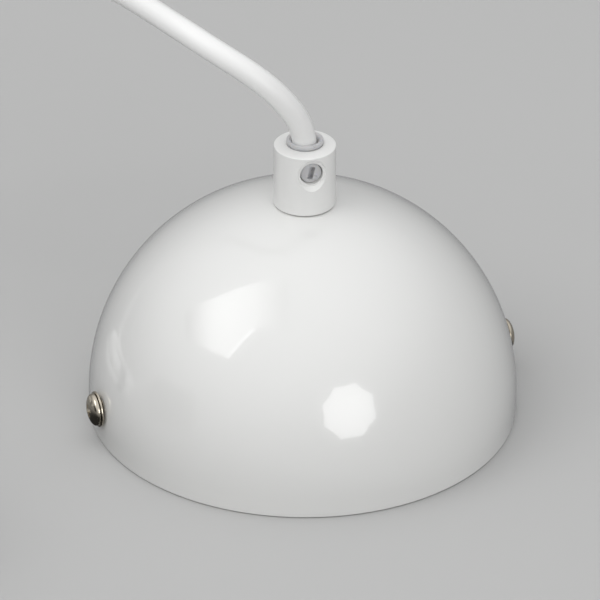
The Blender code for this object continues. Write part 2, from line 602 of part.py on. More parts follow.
def build_lampholder():
    place = holder_matrix()
    skirt = [(17.6, 0), (19.2, 0), (19.5, 0.4), (19.5, 9.6), (18.9, 10.0), (18.9, 22.0),
             (19.5, 22.4), (19.5, 29.6), (19.2, 30.0), (17.6, 30.0)]
    turned("lampholder_skirt", [(r * MM, z * MM) for r, z in skirt], BLACK, 32, place)
    cap = [(18.0, 30.3), (19.5, 30.3), (19.5, 46.0), (19.0, 48.6), (17.4, 50.8), (15.0, 52.0),
           (8.4, 53.0), (7.6, 54.0), (7.6, 57.0), (7.1, 57.5), (5.3, 57.5), (5.3, 51.4),
           (14.4, 50.4), (16.6, 49.0), (18.0, 45.5)]
    turned("lampholder_cap", [(r * MM, z * MM) for r, z in cap], BLACK, 32, place)
    ring = [(19.8, 11.5), (23.3, 11.5), (23.5, 11.8), (23.5, 14.7), (23.3, 15.0), (21.2, 15.0),
            (20.9, 19.5), (19.8, 19.5)]
    turned("lampholder_shade_ring", [(r * MM, z * MM) for r, z in ring], BLACK, 32, place)
    shell = [(13.3, 2.0), (14.1, 2.0), (14.1, 24.7), (13.3, 24.7)]
    turned("lampholder_screw_shell", [(r * MM, z * MM) for r, z in shell], ALUMINIUM, 28, place)
    insert = [(0.0, 25.0), (3.0, 25.0), (3.0, 27.0), (9.5, 27.0), (9.5, 25.0), (17.2, 25.0),
              (17.2, 33.0), (12.0, 33.0), (12.0, 36.0), (0.0, 36.0)]
    turned("lampholder_insert", [(r * MM, z * MM) for r, z in insert], CERAMIC, 28, place)
    contact = [(0.0, 22.4), (3.6, 22.4), (4.2, 22.9), (4.2, 23.3), (0.0, 23.3)]
    touch = turned("lampholder_centre_contact", [(r * MM, z * MM) for r, z in contact], BRASS,
                   24, place)
    set_origin(touch, place @ Vector((0.0, 0.0, 22.4 * MM)))
    relief = [(3.4, 50.0), (5.0, 50.0), (5.0, 58.0), (5.9, 58.0), (5.9, 60.0), (5.0, 62.0),
              (3.4, 62.0)]
    turned("lampholder_cord_gland", [(r * MM, z * MM) for r, z in relief], BLACK, 28, place)


clear_scene()
build_shell()
build_grip()
build_nipple()
build_bracket()
build_side_screws()
build_terminals()
build_earth()
build_cores()
build_flex()
build_lampholder()
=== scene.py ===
"""Looks for the pendant ceiling canopy: fine pieces, materials, camera, light and floor.

Everything is in the row frame in metres: z = 0 is the rim plane and X runs along the side screws.
"""
import math

import bmesh
import bpy
import numpy as np
from mathutils import Matrix, Vector


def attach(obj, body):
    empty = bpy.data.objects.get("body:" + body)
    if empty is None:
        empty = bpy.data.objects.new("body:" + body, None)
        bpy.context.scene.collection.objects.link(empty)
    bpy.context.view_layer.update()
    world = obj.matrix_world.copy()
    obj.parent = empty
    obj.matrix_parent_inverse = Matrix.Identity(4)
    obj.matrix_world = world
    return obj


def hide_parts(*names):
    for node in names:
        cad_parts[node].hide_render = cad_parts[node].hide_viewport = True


MM = 0.001
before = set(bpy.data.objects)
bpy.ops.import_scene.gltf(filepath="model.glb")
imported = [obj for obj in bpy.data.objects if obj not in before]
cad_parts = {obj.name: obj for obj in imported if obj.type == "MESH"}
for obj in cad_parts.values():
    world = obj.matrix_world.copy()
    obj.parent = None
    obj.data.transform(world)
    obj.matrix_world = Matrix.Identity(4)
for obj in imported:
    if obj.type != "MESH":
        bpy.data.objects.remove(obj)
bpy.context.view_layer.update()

# ---------------------------------------------------------------- sizes
DOME_R, SKIRT, WALL = 50.0, 4.4, 1.0
SCREW_Z, WASHER_FACE, WASHER_THICK, WASHER_GAP = 8.5, 50.15, 0.6, 0.15
SEAT = WASHER_FACE + WASHER_THICK + WASHER_GAP
SIDE_HOLE_R = 2.5
SCREW_R, SCREW_LENGTH, SCREW_PITCH = 2.0, 12.0, 0.7
GRIP_R, GRIP_LOW, GRIP_TOP, GRIP_CROWN = 7.15, 54.05, 68.95, 69.35
BUSH_R, BUSH_TOP = 4.25, 70.5
SET_Z, SET_R, SET_TIP, SET_FACE = 64.45, 2.5, 3.05, 5.75
SET_AZIMUTH = math.radians(-95.5)
SET_LEAN = math.radians(-12.0)
SPOT_FACE, SPOT_RADIUS, SPOT_SLOPE = 6.1, 3.15, 0.85
FLEX_R = 2.8
COIL_X, COIL_Y = -111.3, 65.1
TIE_ANGLE, TIE_LIFT = math.radians(-60.0), 0.85
HOLDER_TILT = math.atan2(4.0, 31.0)
HOLDER_AT = Vector((-134.0, -44.0, 25.35)) * MM
VIEW_TURN = math.radians(20.5)
VIEW_TILT = math.radians(30.51)
VIEW_ROLL = math.radians(0.52)
VIEW_DISTANCE = 1201.0
VIEW_AIM = Vector((-0.80, 0.0, 27.76))
VIEW_LENS = 311.0
FLOOR_TONE = 0.50
SKY_LOW, SKY_HIGH, SKY_UNDER = 0.25, 0.86, 0.10
KEY_POWER, KEY_SPREAD = 0.62, 60.0
OCTAGON_GLOW, WINDOW_GLOW = 3.3, 2.8
LIGHT_CENTRE, LIGHT_DISTANCE = Vector((0, 0, 0.03)), 1.3


# ---------------------------------------------------------------- materials
def node_material(name, color, rough, metal=0.0, coat=0.0, coat_rough=0.05, grain=400.0,
                  tint=0.02, rough_swing=0.04, bump=0.02, depth=0.00002, through=0.0,
                  subsurface=0.0, ior=1.5, stretch=(1.0, 1.0, 1.0)):
    """A Principled material with procedural tint, roughness and fine surface grain."""
    mat = bpy.data.materials.new(name)
    mat.use_nodes = True
    tree = mat.node_tree
    new, link = tree.nodes.new, tree.links.new
    shader = tree.nodes["Principled BSDF"]
    place = new("ShaderNodeTexCoord")
    scale = new("ShaderNodeMapping")
    scale.inputs["Scale"].default_value = stretch
    link(place.outputs["Object"], scale.inputs["Vector"])
    broad = new("ShaderNodeTexNoise")
    broad.inputs["Scale"].default_value = grain * 0.12
    broad.inputs["Detail"].default_value = 4.0
    fine = new("ShaderNodeTexNoise")
    fine.inputs["Scale"].default_value = grain
    fine.inputs["Detail"].default_value = 3.0
    link(scale.outputs["Vector"], broad.inputs["Vector"])
    link(scale.outputs["Vector"], fine.inputs["Vector"])
    ramp = new("ShaderNodeMix")
    ramp.data_type = "RGBA"
    low = [max(0.0, c * (1.0 - tint)) for c in color]
    high = [min(1.0, c * (1.0 + tint)) for c in color]
    ramp.inputs[6].default_value = (*low, 1.0)
    ramp.inputs[7].default_value = (*high, 1.0)
    link(broad.outputs["Fac"], ramp.inputs[0])
    link(ramp.outputs[2], shader.inputs["Base Color"])
    swing = new("ShaderNodeMapRange")
    swing.inputs["To Min"].default_value = max(0.0, rough - rough_swing)
    swing.inputs["To Max"].default_value = rough + rough_swing
    link(fine.outputs["Fac"], swing.inputs["Value"])
    link(swing.outputs["Result"], shader.inputs["Roughness"])
    if bump > 0.0:
        relief = new("ShaderNodeBump")
        relief.inputs["Strength"].default_value = bump
        relief.inputs["Distance"].default_value = depth
        link(fine.outputs["Fac"], relief.inputs["Height"])
        link(relief.outputs["Normal"], shader.inputs["Normal"])
    shader.inputs["Metallic"].default_value = metal
    shader.inputs["Coat Weight"].default_value = coat
    shader.inputs["Coat Roughness"].default_value = coat_rough
    shader.inputs["Transmission Weight"].default_value = through
    shader.inputs["Subsurface Weight"].default_value = subsurface
    shader.inputs["Subsurface Radius"].default_value = (0.0012, 0.0010, 0.0008)
    shader.inputs["Subsurface Scale"].default_value = 1.0
    shader.inputs["IOR"].default_value = ior
    return mat


ENAMEL = node_material("enamel", (0.80, 0.80, 0.785), 0.20, coat=1.0, coat_rough=0.004,
                       grain=260.0, tint=0.006, rough_swing=0.03, bump=0.02, depth=0.00001)
SATIN = node_material("satin_paint", (0.86, 0.86, 0.845), 0.34, coat=0.35, coat_rough=0.2,
                      grain=900.0, tint=0.01, bump=0.08, depth=0.00002)
PVC = node_material("flex_pvc", (0.91, 0.91, 0.90), 0.38, grain=300.0, tint=0.006, bump=0.01,
                    rough_swing=0.02)
CLEAR = node_material("clear_nylon", (0.66, 0.66, 0.67), 0.28, grain=600.0, tint=0.03,
                      bump=0.05, subsurface=0.25, through=0.15)
NICKEL = node_material("warm_nickel", (0.66, 0.60, 0.50), 0.20, metal=1.0, grain=900.0,
                       tint=0.05, rough_swing=0.06, bump=0.10, depth=0.00002)
ZINC = node_material("zinc_plate", (0.60, 0.61, 0.62), 0.34, metal=1.0, grain=500.0, tint=0.06,
                     rough_swing=0.08, bump=0.08, depth=0.00002)
BRASS = node_material("brass", (0.72, 0.55, 0.26), 0.28, metal=1.0, grain=500.0, tint=0.05,
                      rough_swing=0.06, bump=0.06)
TIN = node_material("tinned_copper", (0.68, 0.66, 0.62), 0.32, metal=1.0, grain=700.0, tint=0.05,
                    rough_swing=0.06, bump=0.10)
ALUMINIUM = node_material("aluminium", (0.74, 0.74, 0.75), 0.30, metal=1.0, grain=500.0,
                          tint=0.04, rough_swing=0.06, bump=0.05)
NYLON = node_material("white_nylon", (0.78, 0.77, 0.73), 0.42, grain=500.0, tint=0.02, bump=0.05,
                      subsurface=0.1)
BLACK = node_material("black_plastic", (0.022, 0.022, 0.023), 0.36, grain=900.0, tint=0.10,
                      rough_swing=0.06, bump=0.12, depth=0.00003)
HOOK = node_material("tie_fabric", (0.020, 0.020, 0.022), 0.85, grain=1800.0, tint=0.30,
                     bump=0.60, depth=0.0001)
PORCELAIN = node_material("porcelain", (0.78, 0.77, 0.72), 0.30, grain=300.0, tint=0.02,
                          bump=0.05)
BROWN = node_material("brown_core", (0.16, 0.07, 0.035), 0.38, grain=600.0, tint=0.05)
BLUE = node_material("blue_core", (0.03, 0.14, 0.45), 0.38, grain=600.0, tint=0.05)


def striped_core():
    """Green core insulation with two yellow stripes along it."""
    mat = node_material("green_yellow_core", (0.08, 0.32, 0.05), 0.38, grain=600.0, tint=0.05)
    tree = mat.node_tree
    shader = tree.nodes["Principled BSDF"]
    green = shader.inputs["Base Color"].links[0].from_socket
    place = tree.nodes.new("ShaderNodeTexCoord")
    wave = tree.nodes.new("ShaderNodeTexWave")
    wave.inputs["Scale"].default_value = 260.0
    wave.inputs["Distortion"].default_value = 0.4
    cut = tree.nodes.new("ShaderNodeMath")
    cut.operation = "GREATER_THAN"
    cut.inputs[1].default_value = 0.62
    mix = tree.nodes.new("ShaderNodeMix")
    mix.data_type = "RGBA"
    mix.inputs[7].default_value = (0.75, 0.62, 0.04, 1.0)
    tree.links.new(place.outputs["Object"], wave.inputs["Vector"])
    tree.links.new(wave.outputs["Fac"], cut.inputs[0])
    tree.links.new(cut.outputs["Value"], mix.inputs[0])
    tree.links.new(green, mix.inputs[6])
    tree.links.new(mix.outputs[2], shader.inputs["Base Color"])
    return mat


EARTH = striped_core()


# ---------------------------------------------------------------- mesh helpers
def add_mesh(bm, name, look, crease=38.0):
    bmesh.ops.remove_doubles(bm, verts=bm.verts, dist=1e-8)
    bmesh.ops.recalc_face_normals(bm, faces=bm.faces)
    mesh = bpy.data.meshes.new(name)
    bm.to_mesh(mesh)
    bm.free()
    obj = bpy.data.objects.new(name, mesh)
    bpy.context.scene.collection.objects.link(obj)
    if look:
        mesh.materials.append(look)
    mesh.shade_smooth()
    mesh.set_sharp_from_angle(angle=math.radians(crease))
    return obj


def lathe_bmesh(outline, segments, matrix=None):
    """Revolve a closed (radius, height) outline in millimetres round Z."""
    bm = bmesh.new()
    rings = []
    for radius, height in outline:
        if radius < 1e-6:
            rings.append([bm.verts.new((0.0, 0.0, height * MM))])
            continue
        rings.append([bm.verts.new((radius * MM * math.cos(2 * math.pi * i / segments),
                                    radius * MM * math.sin(2 * math.pi * i / segments),
                                    height * MM)) for i in range(segments)])
    for i, ring in enumerate(rings):
        other = rings[(i + 1) % len(rings)]
        if len(ring) == 1 and len(other) == 1:
            continue
        for k in range(segments):
            n = (k + 1) % segments
            corners = (ring[k % len(ring)], ring[n % len(ring)], other[n % len(other)],
                       other[k % len(other)])
            bm.faces.new(list(dict.fromkeys(corners)))
    if matrix:
        bmesh.ops.transform(bm, matrix=matrix, verts=bm.verts)
    return bm


def lathe(name, outline, look, segments=96, matrix=None, crease=38.0):
    return add_mesh(lathe_bmesh(outline, segments, matrix), name, look, crease)


def box_bmesh(low, high):
    bm = bmesh.new()
    bmesh.ops.create_cube(bm, size=1.0)
    low, high = Vector(low) * MM, Vector(high) * MM
    bmesh.ops.transform(bm, verts=bm.verts, matrix=Matrix.Translation((low + high) / 2)
                        @ Matrix.Diagonal((*(high - low), 1.0)))
    return bm


def carve(obj, tool_mesh, crease=38.0):
    """Cut a throw-away tool out of a piece with one exact boolean."""
    tool = add_mesh(tool_mesh, "tool", None)
    step = obj.modifiers.new("step", "BOOLEAN")
    step.operation, step.solver, step.object = "DIFFERENCE", "EXACT", tool
    graph = bpy.context.evaluated_depsgraph_get()
    result = bpy.data.meshes.new_from_object(obj.evaluated_get(graph))
    obj.modifiers.clear()
    obj.data = result
    bpy.data.objects.remove(tool, do_unlink=True)
    result.shade_smooth()
    result.set_sharp_from_angle(angle=math.radians(crease))


def drill(obj, radius, low, high, matrix):
    outline = [(0.0, low), (radius, low), (radius, high), (0.0, high)]
    carve(obj, lathe_bmesh(outline, 64, matrix))


def shape_normals(obj, rule):
    """Set exact normals where rule(corner, face normal) gives one, so large faces stay smooth."""
    mesh = obj.data
    normals = [corner.vector.copy() for corner in mesh.corner_normals]
    for face in mesh.polygons:
        for index in face.loop_indices:
            spot = mesh.vertices[mesh.loops[index].vertex_index].co / MM
            found = rule(spot, face.normal)
            if found is not None:
                normals[index] = found.normalized()
    mesh.normals_split_custom_set([tuple(n) for n in normals])


def arc(cx, cz, radius, start, stop, count):
    """Points of an arc in the outline plane, in degrees from the +radius direction."""
    out = []
    for i in range(count + 1):
        a = math.radians(start + (stop - start) * i / count)
        out.append((cx + radius * math.cos(a), cz + radius * math.sin(a)))
    return out


def rounded(outline, radius, steps=3):
    """Round every corner of a closed outline, except those on the axis."""
    out = []
    count = len(outline)
    for i, (x, z) in enumerate(outline):
        here = Vector((x, z))
        back = Vector(outline[i - 1]) - here
        ahead = Vector(outline[(i + 1) % count]) - here
        if x < 1e-6 or back.length < 1e-6 or ahead.length < 1e-6:
            out.append((x, z))
            continue
        angle = back.angle(ahead)
        if angle > math.radians(165):
            out.append((x, z))
            continue
        reach = min(radius / math.tan(angle / 2), 0.45 * back.length, 0.45 * ahead.length)
        start, stop = here + back.normalized() * reach, here + ahead.normalized() * reach
        for k in range(steps + 1):
            t = k / steps
            point = start * (1 - t) ** 2 + here * 2 * t * (1 - t) + stop * t * t
            out.append((max(point.x, 0.0), point.y))
    return out


def along_x(z, flip):
    """Stand a lathed piece along +X at a height, or along -X when flipped."""
    return at(z=z) @ Matrix.Rotation(math.radians(-90.0 if flip else 90.0), 4, "Y")


def at(x=0.0, y=0.0, z=0.0):
    return Matrix.Translation(Vector((x, y, z)) * MM)


def soften(node, look, width, crease=30.0):
    """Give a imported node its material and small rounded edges."""
    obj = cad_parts[node]
    obj.data.materials.clear()
    obj.data.materials.append(look)
    edge = obj.modifiers.new("edge", "BEVEL")
    edge.width = width * MM
    edge.segments = 2
    edge.limit_method = "ANGLE"
    edge.angle_limit = math.radians(crease)
    edge.harden_normals = True
    return obj


# ---------------------------------------------------------------- canopy shell
def dome_outline():
    """Section of the shell: rounded rim, straight skirt, hemisphere, small pressed flat on top."""
    flat_r, hole_r = 7.9, 5.3
    top = SKIRT + math.sqrt(DOME_R ** 2 - flat_r ** 2)
    under = top - WALL
    inner = DOME_R - WALL
    stop_out = math.degrees(math.acos(flat_r / DOME_R))
    stop_in = math.degrees(math.asin((under - SKIRT) / inner))
    outline = [(DOME_R - 0.35, 0.0), (DOME_R - 0.17, 0.05), (DOME_R - 0.05, 0.17),
               (DOME_R, 0.35)]
    outline += arc(0.0, SKIRT, DOME_R, 0.0, stop_out, 96)
    outline += [(hole_r + 0.15, top), (hole_r, top - 0.15), (hole_r, under)]
    outline += arc(0.0, SKIRT, inner, stop_in, 0.0, 64)
    outline += [(inner, 0.3), (inner + 0.1, 0.08), (inner + 0.3, 0.0)]
    return outline


def dome_rule(spot, normal):
    """Exact sphere or cylinder normals on the big outer and inner surfaces."""
    flat = math.hypot(spot.x, spot.y)
    if spot.z >= SKIRT - 1e-4:
        out = Vector((spot.x, spot.y, spot.z - SKIRT))
        dist = out.length
    else:
        out = Vector((spot.x, spot.y, 0.0))
        dist = flat
        if spot.z < 0.34:
            return None
    if out.length < 1e-6:
        return None
    out = out.normalized()
    if abs(dist - DOME_R) < 0.02 and normal.dot(out) > 0.9:
        return out
    if abs(dist - DOME_R + WALL) < 0.02 and normal.dot(out) < -0.9:
        return -out
    return None


def build_dome():
    shell = lathe("canopy_dome", dome_outline(), ENAMEL, segments=256)
    for flip in (True, False):
        drill(shell, SIDE_HOLE_R, DOME_R - 4.0, DOME_R + 4.0, along_x(SCREW_Z, flip))
    shape_normals(shell, dome_rule)
    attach(shell, "canopy")
    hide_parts("canopy_shell")


# ---------------------------------------------------------------- cord grip
def grip_side():
    turn = Matrix.Rotation(SET_AZIMUTH, 4, "Z") @ Matrix.Rotation(math.radians(90), 4, "Y")
    return at(z=SET_Z) @ turn


def grip_rule(spot, normal):
    out = Vector((spot.x, spot.y, 0.0))
    if abs(out.length - GRIP_R) < 0.02 and out.length > 0 and normal.dot(out.normalized()) > 0.95:
        return out
    return None


def build_collar():
    edge = 0.28
    outline = [(5.3, GRIP_LOW), (GRIP_R - 0.2, GRIP_LOW), (GRIP_R, GRIP_LOW + 0.2)]
    outline += arc(GRIP_R - edge, GRIP_TOP - edge, edge, 0.0, 90.0, 6)
    outline += [(4.40, GRIP_CROWN - 0.01), (4.16, GRIP_CROWN - 0.08), (4.06, GRIP_CROWN - 0.25),
                (4.06, 60.5), (3.5, 60.5), (3.5, 59.3), (5.3, 59.3)]
    body = lathe("grip_collar", outline, SATIN, segments=160, crease=34.0)
    bore, reach, start = SET_R + 0.18, GRIP_R + 0.5, SET_TIP + 0.25
    grooves, pitch, depth = 5, 0.5, 0.2
    tool = [(0.0, start), (bore, start)]
    for k in range(grooves):
        low = start + pitch * k
        tool += [(bore, low), (bore + depth, low + 0.5 * pitch)]
    tool += [(bore, SPOT_FACE), (SPOT_RADIUS, SPOT_FACE),
             (SPOT_RADIUS + SPOT_SLOPE * (reach - SPOT_FACE), reach), (0.0, reach)]
    carve(body, lathe_bmesh(tool, 96, grip_side()), crease=34.0)
    shape_normals(body, grip_rule)
    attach(body, "canopy")
    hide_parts("cord_grip_body")


def build_bush():
    """Translucent sleeve with a rounded lip that stands on the collar and a funnel at its mouth."""
    lip = GRIP_CROWN + 0.05
    outline = [(3.05, 60.8), (4.0, 60.8), (4.0, lip), (BUSH_R - 0.1, lip + 0.08),
               (BUSH_R, lip + 0.28)]
    outline += arc(BUSH_R - 0.42, BUSH_TOP - 0.42, 0.42, 0.0, 78.0, 6)
    outline += [(3.68, BUSH_TOP), (3.52, BUSH_TOP - 0.06), (3.34, BUSH_TOP - 0.2),
                (3.15, BUSH_TOP - 0.45), (3.05, BUSH_TOP - 0.8)]
    sleeve = lathe("grip_bush_sleeve", outline, CLEAR, segments=128, crease=50.0)
    drill(sleeve, SET_R + 0.3, 0.0, GRIP_R, grip_side())
    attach(sleeve, "canopy")
    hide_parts("grip_bush")


def build_set_screw():
    place = grip_side()
    side = SET_R - 0.06
    screw = lathe("grip_screw_slotted", [
        (0.0, SET_TIP), (SET_R - 0.5, SET_TIP), (side, SET_TIP + 0.45), (side, SET_FACE - 0.32),
        (side - 0.05, SET_FACE - 0.12), (side - 0.2, SET_FACE), (0.0, SET_FACE)], CLEAR,
        segments=96, matrix=place, crease=50.0)
    width, length, depth = 1.3, 3.1, 1.5
    tool = box_bmesh((-length / 2, -width / 2, SET_FACE - depth),
                     (length / 2, width / 2, SET_FACE + 1.0))
    bmesh.ops.bevel(tool, geom=tool.edges[:], offset=0.12 * MM, segments=2, affect="EDGES")
    bmesh.ops.transform(tool, verts=tool.verts, matrix=place @ Matrix.Rotation(SET_LEAN, 4, "Z"))
    carve(screw, tool, crease=50.0)
    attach(screw, "grip_set_screw")
    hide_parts("grip_set_screw")


# ---------------------------------------------------------------- side screws
def cross_bmesh(radius, half, floor, top, matrix):
    """Cross-head recess: two tapered bars and a middle point."""
    bm = bmesh.new()
    outline = [(radius, -half), (radius, half), (half, half), (half, radius), (-half, radius),
               (-half, half), (-radius, half), (-radius, -half), (-half, -half),
               (-half, -radius), (half, -radius), (half, -half)]
    levels = ((floor, 0.30, 0.55), (top, 1.0, 1.0))
    rings = []
    for height, long_scale, wide_scale in levels:
        ring = []
        for x, y in outline:
            sx = long_scale if abs(x) > half else wide_scale
            sy = long_scale if abs(y) > half else wide_scale
            ring.append(bm.verts.new((x * sx * MM, y * sy * MM, height * MM)))
        rings.append(ring)
    count = len(outline)
    for i in range(count):
        n = (i + 1) % count
        bm.faces.new((rings[0][i], rings[0][n], rings[1][n], rings[1][i]))
    bm.faces.new(rings[0][::-1])
    bm.faces.new(rings[1])
    bmesh.ops.transform(bm, matrix=matrix, verts=bm.verts)
    return bm


def thread(shank, low, high, pitch, depth=0.22):
    """Ring grooves from low to high as outline points on a shank."""
    out = [(0.0, low), (shank - 0.55, low), (shank - depth, low + 0.35)]
    z = low + 0.35
    while z + pitch < high:
        out += [(shank, z + 0.35 * pitch), (shank, z + 0.5 * pitch),
                (shank - depth, z + 0.9 * pitch)]
        z += pitch
    out.append((shank - depth, high))
    return out


def build_side_screws():
    for side, flip, turn in (("left", True, 24.0), ("right", False, 61.0)):
        place = along_x(SCREW_Z, flip)
        washer = lathe(f"{side}_washer_disc", rounded([
            (2.3, WASHER_FACE), (3.3, WASHER_FACE), (4.2, WASHER_FACE + 0.2),
            (4.2, WASHER_FACE + WASHER_THICK), (2.3, WASHER_FACE + WASHER_THICK)], 0.12), NICKEL,
            segments=128, matrix=place)
        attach(washer, f"{side}_washer")
        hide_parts(f"{side}_side_washer")
        head = [(3.65, SEAT), (3.78, SEAT + 0.10), (3.80, SEAT + 0.24), (3.75, SEAT + 0.40)]
        head += [(3.75 * math.cos(a), SEAT + 0.40 + 1.50 * math.sin(a))
                 for a in (math.radians(6.0 * k) for k in range(1, 15))]
        head.append((0.0, SEAT + 1.90))
        outline = thread(SCREW_R, SEAT - SCREW_LENGTH, SEAT, SCREW_PITCH) + head
        screw = lathe(f"{side}_screw_cross_head", outline, NICKEL, segments=128, matrix=place,
                      crease=30.0)
        spin = place @ Matrix.Rotation(math.radians(turn), 4, "Z")
        carve(screw, cross_bmesh(2.0, 0.46, SEAT + 0.35, SEAT + 2.6, spin), crease=30.0)
        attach(screw, f"{side}_screw")
        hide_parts(f"{side}_side_screw")


# ---------------------------------------------------------------- parts inside the shell
def plain(name, outline, look, body, node, segments=72, matrix=None, edge=0.12):
    piece = lathe(name, rounded(outline, edge) if edge else outline, look, segments, matrix)
    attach(piece, body)
    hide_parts(node)
    return piece


def build_inside():
    for node, look, width in (("mounting_bracket", ZINC, 0.15), ("terminal_housing", NYLON, 0.25),
                              ("lock_nut", ZINC, 0.2), ("earth_lug", TIN, 0.1),
                              ("terminal_insert_neutral", BRASS, 0.08),
                              ("terminal_insert_live", BRASS, 0.08),
                              ("terminal_insert_spare", BRASS, 0.08),
                              ("block_fixing_screw_a", ZINC, 0.06),
                              ("block_fixing_screw_b", ZINC, 0.06),
                              ("earth_screw", BRASS, 0.08), ("earth_washer", TIN, 0.08),
                              ("lock_washer", ZINC, 0.08)):
        soften(node, look, width)
    for pole in ("neutral", "live", "spare"):
        for end in ("lamp", "mains"):
            soften(f"clamp_screw_{pole}_{end}", ZINC, 0.06)
    for node in ("ferrule_neutral", "ferrule_live"):
        soften(node, TIN, 0.06)
    nipple = [(3.5, 46.0), (4.5, 46.0), (4.75, 46.3)]
    z = 46.3
    while z + 1.0 < 58.8:
        nipple += [(5.0, z + 0.4), (5.0, z + 0.55), (4.72, z + 1.0)]
        z += 1.0
    nipple += [(4.5, 59.0), (3.5, 59.0)]
    plain("nipple_threaded_tube", nipple, ZINC, "canopy", "threaded_nipple", 96, edge=0)


# ---------------------------------------------------------------- curves
def smoothed(points, rounds=60):
    """Even out a chain of points, ends fixed."""
    chain = [p.copy() for p in points]
    for _ in range(rounds):
        chain = [chain[0]] + [a * 0.25 + b * 0.5 + c * 0.25 for a, b, c
                              in zip(chain, chain[1:], chain[2:])] + [chain[-1]]
    return chain


def spaced(points, step):
    """The same line with its points a fixed step apart."""
    total = sum((b - a).length for a, b in zip(points, points[1:]))
    count = max(4, round(total / step))
    gap = total / count
    out, want, gone = [points[0].copy()], gap, 0.0
    for a, b in zip(points, points[1:]):
        span = (b - a).length
        while span > 0 and want <= gone + span + 1e-12 and len(out) < count:
            out.append(a.lerp(b, (want - gone) / span))
            want += gap
        gone += span
    out.append(points[-1].copy())
    return out


def through(points, per=10):
    """Natural cubic spline through the points, its parameter their distance apart."""
    spots = np.array([tuple(p) for p in points])
    gaps = np.linalg.norm(np.diff(spots, axis=0), axis=1)
    count = len(spots)
    system, right = np.eye(count), np.zeros((count, 3))
    for i in range(1, count - 1):
        system[i, i - 1:i + 2] = (gaps[i - 1], 2 * (gaps[i - 1] + gaps[i]), gaps[i])
        right[i] = 6 * ((spots[i + 1] - spots[i]) / gaps[i]
                        - (spots[i] - spots[i - 1]) / gaps[i - 1])
    bend = np.linalg.solve(system, right)
    line = []
    for i, gap in enumerate(gaps):
        for k in range(per):
            u = gap * k / per
            v = gap - u
            cubic = (bend[i] * v ** 3 + bend[i + 1] * u ** 3) / (6 * gap)
            line.append(Vector(cubic + (spots[i] / gap - bend[i] * gap / 6) * v
                               + (spots[i + 1] / gap - bend[i + 1] * gap / 6) * u))
    line.append(Vector(spots[-1]))
    return line


def round_curve(name, points, radius, look, sides=6):
    """One open poly spline with a round section and closed ends, points in millimetres."""
    data = bpy.data.curves.new(name, "CURVE")
    data.dimensions = "3D"
    data.bevel_depth = radius * MM
    data.bevel_resolution = sides
    data.use_fill_caps = True
    spline = data.splines.new("POLY")
    spline.points.add(len(points) - 1)
    for slot, point in zip(spline.points, points):
        slot.co = (*(point * MM), 1.0)
    spline.use_smooth = True
    data.materials.append(look)
    obj = bpy.data.objects.new(name, data)
    bpy.context.scene.collection.objects.link(obj)
    return obj


def build_cores():
    low = 7.3
    routes = {
        "neutral": ((0.2, -1.4, 35.7), (-0.2, -1.6, 33.0), (-2.4, -3.5, 27.0), (-4.8, -7.0, 20.0),
                    (-4.6, -9.4, 13.0), (-0.9, -10.0, 8.4), (4.0, -10.0, low), (8.2, -10.0, low)),
        "live": ((0.9, 1.1, 35.7), (0.8, 1.1, 33.0), (-0.6, 1.0, 27.0), (-2.4, 0.6, 20.0),
                 (-2.4, 0.2, 13.0), (0.8, 0.0, 8.6), (4.6, 0.0, low), (8.2, 0.0, low)),
        "earth": ((-1.4, 0.2, 35.7), (-1.8, 0.2, 33.2), (-5.5, 0.4, 28.8), (-12.0, 0.4, 28.2),
                  (-17.8, 0.2, 27.0), (-20.8, 0.0, 22.4), (-20.8, 0.0, 15.4)),
    }
    looks = {"neutral": (BLUE, "blue_core"), "live": (BROWN, "brown_core"),
             "earth": (EARTH, "earth_core")}
    for core, route in routes.items():
        line = spaced(through([Vector(p) for p in route]), 0.8)
        wire = round_curve(f"wire_{core}", line, 1.1, looks[core][0])
        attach(wire, "canopy")
        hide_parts(f"core_{core}")
    plain("sheath_inside", [(0.0, 36.0), (FLEX_R, 36.0), (FLEX_R, 62.2), (0.0, 62.2)], PVC,
          "canopy", "flex_in_grip", 64, edge=0.2)


# ---------------------------------------------------------------- flex
def coil_point(angle, radius, height):
    """A point of the coil, lifted a little where the tie passes under it."""
    aside = (angle - TIE_ANGLE + math.pi) % (2 * math.pi) - math.pi
    lift = TIE_LIFT * math.exp(-(aside / 0.55) ** 2)
    return Vector((COIL_X + radius * math.cos(angle), COIL_Y + radius * math.sin(angle),
                   height + lift))


def coil_line():
    """Top layer spirals in, drops at the inner edge, and the bottom layer spirals out."""
    pitch, low = 2 * FLEX_R + 0.2, FLEX_R + 0.15
    high = low + 2 * FLEX_R + 0.3
    start, steps = math.radians(90.0), 36
    top_turns, drop_turns, base_turns = 1.75, 0.35, 2.15
    inner, top_end = 25.6, 26.8
    landing_lift, landing_turns = 4.5, 0.1
    out = []
    for i in range(int(top_turns * steps)):
        t = i / steps
        lift = landing_lift * max(0.0, 1.0 - t / landing_turns) ** 2
        out.append(coil_point(start + 2 * math.pi * t, top_end + pitch * (top_turns - t),
                              high + lift))
    for i in range(int(drop_turns * steps)):
        t = i / (drop_turns * steps)
        ease = t * t * (3 - 2 * t)
        out.append(coil_point(start + 2 * math.pi * (top_turns + drop_turns * t),
                              top_end + (inner - top_end) * ease, high + (low - high) * ease))
    for i in range(int(base_turns * steps) + 1):
        t = i / steps
        out.append(coil_point(start + 2 * math.pi * (top_turns + drop_turns + t),
                              inner + pitch * t, low))
    return out


